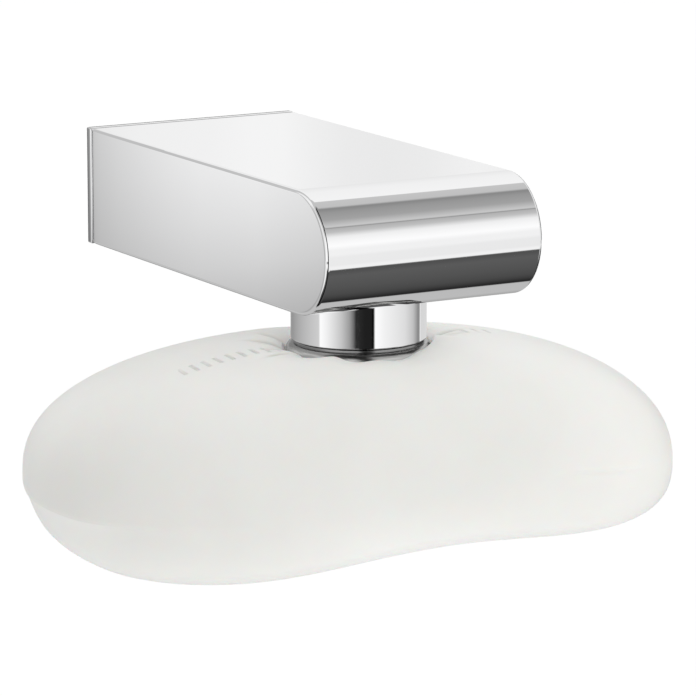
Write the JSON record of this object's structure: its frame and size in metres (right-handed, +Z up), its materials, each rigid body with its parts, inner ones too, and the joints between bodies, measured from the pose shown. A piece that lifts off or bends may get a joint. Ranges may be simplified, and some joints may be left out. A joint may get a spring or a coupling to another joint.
{
  "type": "magnetic soap holder",
  "caption": "Wall-mounted chromed arm with a half-round nose and a magnet cup beneath it, from which a soap bar hangs by a steel cap pressed into its top.",
  "frame": {"origin": "centre of the wall plate's back face, where it meets the wall", "axes": "+Z up, +Y into the wall, +X to the right along the nose as seen from in front"},
  "size_m": [0.098, 0.0887, 0.0618],
  "materials": {
    "chrome": "mirror-polished chrome plate",
    "cast_zinc": "as-cast zinc, matt",
    "steel": "bright turned steel",
    "resin": "matt dark resin",
    "nickel": "nickel-plated magnet",
    "cap_steel": "bright pressed stainless steel",
    "soap": "smooth off-white soap, satin"
  },
  "bodies": {
    "holder": {"wall_plate": "chrome", "wall_bracket": "cast_zinc", "lock_screw": "steel", "arm_shell": "chrome", "magnet_holder": "chrome", "lock_washer": "steel", "holder_screw": "steel", "pole_cup": "steel", "spacer_ring": "resin"},
    "magnet": {"magnet": "nickel"},
    "soap": {"steel_cap": "cap_steel", "soap_bar": "soap"}
  },
  "joints": [
    {"name": "soap_swivel", "type": "hinge", "parent": "holder", "child": "magnet", "pos_m": [0, -0.0565, -0.0172], "axis": [0, 0, 1], "continuous": true},
    {"name": "soap_pull_off", "type": "slide", "parent": "magnet", "child": "soap", "axis": [0, 0, -1], "range_m": [0, 0.05]}
  ]
}
